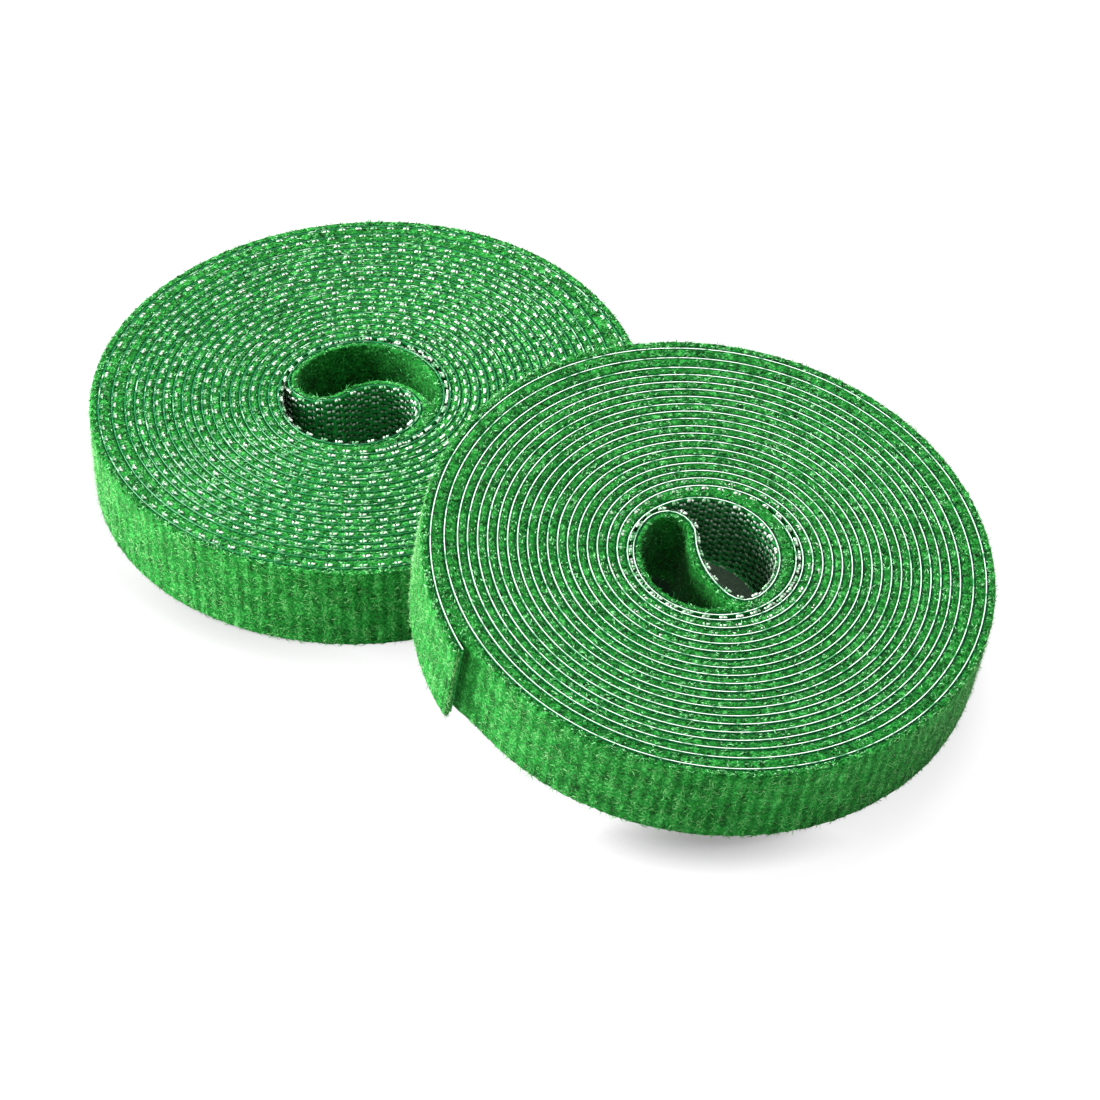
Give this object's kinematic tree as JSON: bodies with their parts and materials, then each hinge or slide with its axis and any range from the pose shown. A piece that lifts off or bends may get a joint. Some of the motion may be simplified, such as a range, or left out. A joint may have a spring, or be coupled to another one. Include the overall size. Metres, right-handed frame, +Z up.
{
  "type": "garden tie tape",
  "caption": "Flat coils of green hook-and-loop garden tie tape, wound hooks inwards, with loose ends that peel back for tying plants to a support.",
  "frame": {"origin": "centre of the pair's bounding box, on the floor that both rolls touch", "axes": "+X from the flat roll towards the leaning one, +Y away from the viewer, +Z up"},
  "size_m": [0.1129, 0.1105, 0.0267],
  "materials": {
    "loop_cloth": "soft brushed knitted nylon pile, leaf green",
    "hook_film": "thin moulded film, milky and slightly glossy, with rows of fine hooks"
  },
  "bodies": {
    "flat_roll": {"flat_roll_loop_cloth": "loop_cloth", "flat_roll_hook_film": "hook_film"},
    "flat_end": {"flat_end_loop_cloth": "loop_cloth", "flat_end_hook_film": "hook_film"},
    "leaning_roll": {"leaning_roll_loop_cloth": "loop_cloth", "leaning_roll_hook_film": "hook_film"},
    "leaning_end": {"leaning_end_loop_cloth": "loop_cloth", "leaning_end_hook_film": "hook_film"}
  },
  "joints": [
    {"name": "flat_end_peel", "type": "hinge", "parent": "flat_roll", "child": "flat_end", "pos_m": [0.00229, 0.04686, 0.006], "axis": [0, 0, 1], "range_deg": [0, 80]},
    {"name": "leaning_roll_lift", "type": "slide", "parent": "flat_roll", "child": "leaning_roll", "axis": [0, 0, 1], "range_m": [0, 0.04]},
    {"name": "leaning_end_peel", "type": "hinge", "parent": "leaning_roll", "child": "leaning_end", "pos_m": [-0.01298, -0.01565, 0.01952], "axis": [-0.156, 0.1481, -0.9766], "range_deg": [0, 80]}
  ]
}
